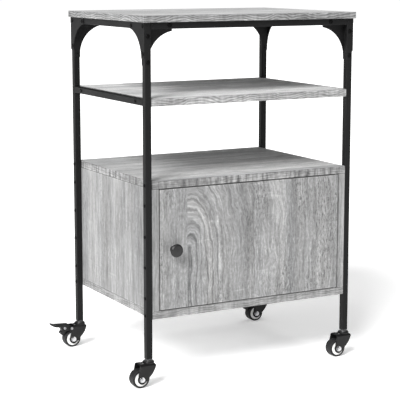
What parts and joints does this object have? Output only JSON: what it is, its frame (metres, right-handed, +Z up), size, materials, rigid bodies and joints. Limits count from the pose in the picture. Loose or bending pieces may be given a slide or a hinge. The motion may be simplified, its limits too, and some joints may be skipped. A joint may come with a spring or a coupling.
{
  "type": "kitchen island cart",
  "caption": "Rolling kitchen cart: black square-tube frame with corner brackets, oak worktop and shelf, a one-door cabinet below, on swivel casters with brakes.",
  "frame": {"origin": "on the floor, under the centre of the rectangle that the four posts stand on", "axes": "+Z up, the front with the door faces -Y, +X to the right seen from the front"},
  "size_m": [0.5399, 0.3817, 0.72],
  "materials": {
    "black_frame": "fine powder coat, satin black",
    "oak_board": "grey oak laminate, matt, vertical grain on panels",
    "black_plastic": "moulded, matt black",
    "caster_steel": "pressed steel, black coat",
    "bright_steel": "plated, bright",
    "screw_steel": "black oxide screw heads",
    "zinc_steel": "zinc plated",
    "tyre_rubber": "smooth soft tread",
    "wheel_plastic": "light grey moulded core",
    "knob_black": "satin black knob",
    "catch_plastic": "white moulded case with steel poles"
  },
  "bodies": {
    "frame": {"post_front_left": "black_frame", "corner_brackets_front_left": "black_frame", "post_front_right": "black_frame", "corner_brackets_front_right": "black_frame", "post_back_left": "black_frame", "corner_brackets_back_left": "black_frame", "post_back_right": "black_frame", "corner_brackets_back_right": "black_frame", "top_rail_front": "black_frame", "top_rail_back": "black_frame", "top_rail_left": "black_frame", "top_rail_right": "black_frame", "shelf_rail_left": "black_frame", "cabinet_side_left": "oak_board", "shelf_rail_right": "black_frame", "cabinet_side_right": "oak_board", "top_board": "oak_board", "middle_shelf": "oak_board", "cabinet_top": "oak_board", "cabinet_bottom": "oak_board", "cabinet_back": "oak_board", "bracket_screws": "screw_steel", "board_screws": "screw_steel", "hinge_plates_cabinet": "zinc_steel", "magnetic_catch": "catch_plastic", "post_inserts": "black_plastic", "caster_stems": "bright_steel"},
    "door": {"door": "oak_board", "hinge_plates_door": "zinc_steel", "hinge_pins": "zinc_steel", "door_knob": "knob_black", "knob_screw": "zinc_steel", "strike_plate": "zinc_steel"},
    "caster_front_left": {"fork_front_left": "caster_steel", "axle_front_left": "bright_steel"},
    "wheel_front_left": {"tyre_front_left": "tyre_rubber", "wheel_core_front_left": "wheel_plastic", "wheel_caps_front_left": "black_plastic"},
    "caster_front_right": {"fork_front_right": "caster_steel", "axle_front_right": "bright_steel"},
    "wheel_front_right": {"tyre_front_right": "tyre_rubber", "wheel_core_front_right": "wheel_plastic", "wheel_caps_front_right": "black_plastic"},
    "caster_back_left": {"fork_back_left": "caster_steel", "axle_back_left": "bright_steel"},
    "wheel_back_left": {"tyre_back_left": "tyre_rubber", "wheel_core_back_left": "wheel_plastic", "wheel_caps_back_left": "black_plastic"},
    "brake_back_left": {"brake_pedal_back_left": "caster_steel", "brake_shoe_back_left": "black_plastic", "brake_pins_back_left": "bright_steel"},
    "caster_back_right": {"fork_back_right": "caster_steel", "axle_back_right": "bright_steel"},
    "wheel_back_right": {"tyre_back_right": "tyre_rubber", "wheel_core_back_right": "wheel_plastic", "wheel_caps_back_right": "black_plastic"},
    "brake_back_right": {"brake_pedal_back_right": "caster_steel", "brake_shoe_back_right": "black_plastic", "brake_pins_back_right": "bright_steel"}
  },
  "joints": [
    {"name": "door_hinge", "type": "hinge", "parent": "frame", "child": "door", "pos_m": [0.2025, -0.17, 0.269], "axis": [0, 0, 1], "range_deg": [0, 100]},
    {"name": "swivel_front_left", "type": "hinge", "parent": "frame", "child": "caster_front_left", "pos_m": [-0.2295, -0.1675, 0.047], "axis": [0, 0, 1], "continuous": true},
    {"name": "wheel_spin_front_left", "type": "hinge", "parent": "caster_front_left", "child": "wheel_front_left", "pos_m": [-0.2495, -0.1675, 0.018], "axis": [0, 1, 0], "continuous": true},
    {"name": "swivel_front_right", "type": "hinge", "parent": "frame", "child": "caster_front_right", "pos_m": [0.2295, -0.1675, 0.047], "axis": [0, 0, 1], "continuous": true},
    {"name": "wheel_spin_front_right", "type": "hinge", "parent": "caster_front_right", "child": "wheel_front_right", "pos_m": [0.2095, -0.1675, 0.018], "axis": [0, 1, 0], "continuous": true},
    {"name": "swivel_back_left", "type": "hinge", "parent": "frame", "child": "caster_back_left", "pos_m": [-0.2295, 0.1675, 0.047], "axis": [0, 0, 1], "continuous": true},
    {"name": "wheel_spin_back_left", "type": "hinge", "parent": "caster_back_left", "child": "wheel_back_left", "pos_m": [-0.2495, 0.1675, 0.018], "axis": [0, 1, 0], "continuous": true},
    {"name": "brake_back_left", "type": "hinge", "parent": "caster_back_left", "child": "brake_back_left", "pos_m": [-0.2535, 0.1675, 0.042], "axis": [0, -1, 0], "range_deg": [0, 15]},
    {"name": "swivel_back_right", "type": "hinge", "parent": "frame", "child": "caster_back_right", "pos_m": [0.2295, 0.1675, 0.047], "axis": [0, 0, 1], "continuous": true},
    {"name": "wheel_spin_back_right", "type": "hinge", "parent": "caster_back_right", "child": "wheel_back_right", "pos_m": [0.2095, 0.1675, 0.018], "axis": [0, 1, 0], "continuous": true},
    {"name": "brake_back_right", "type": "hinge", "parent": "caster_back_right", "child": "brake_back_right", "pos_m": [0.2055, 0.1675, 0.042], "axis": [0, -1, 0], "range_deg": [0, 15]}
  ]
}
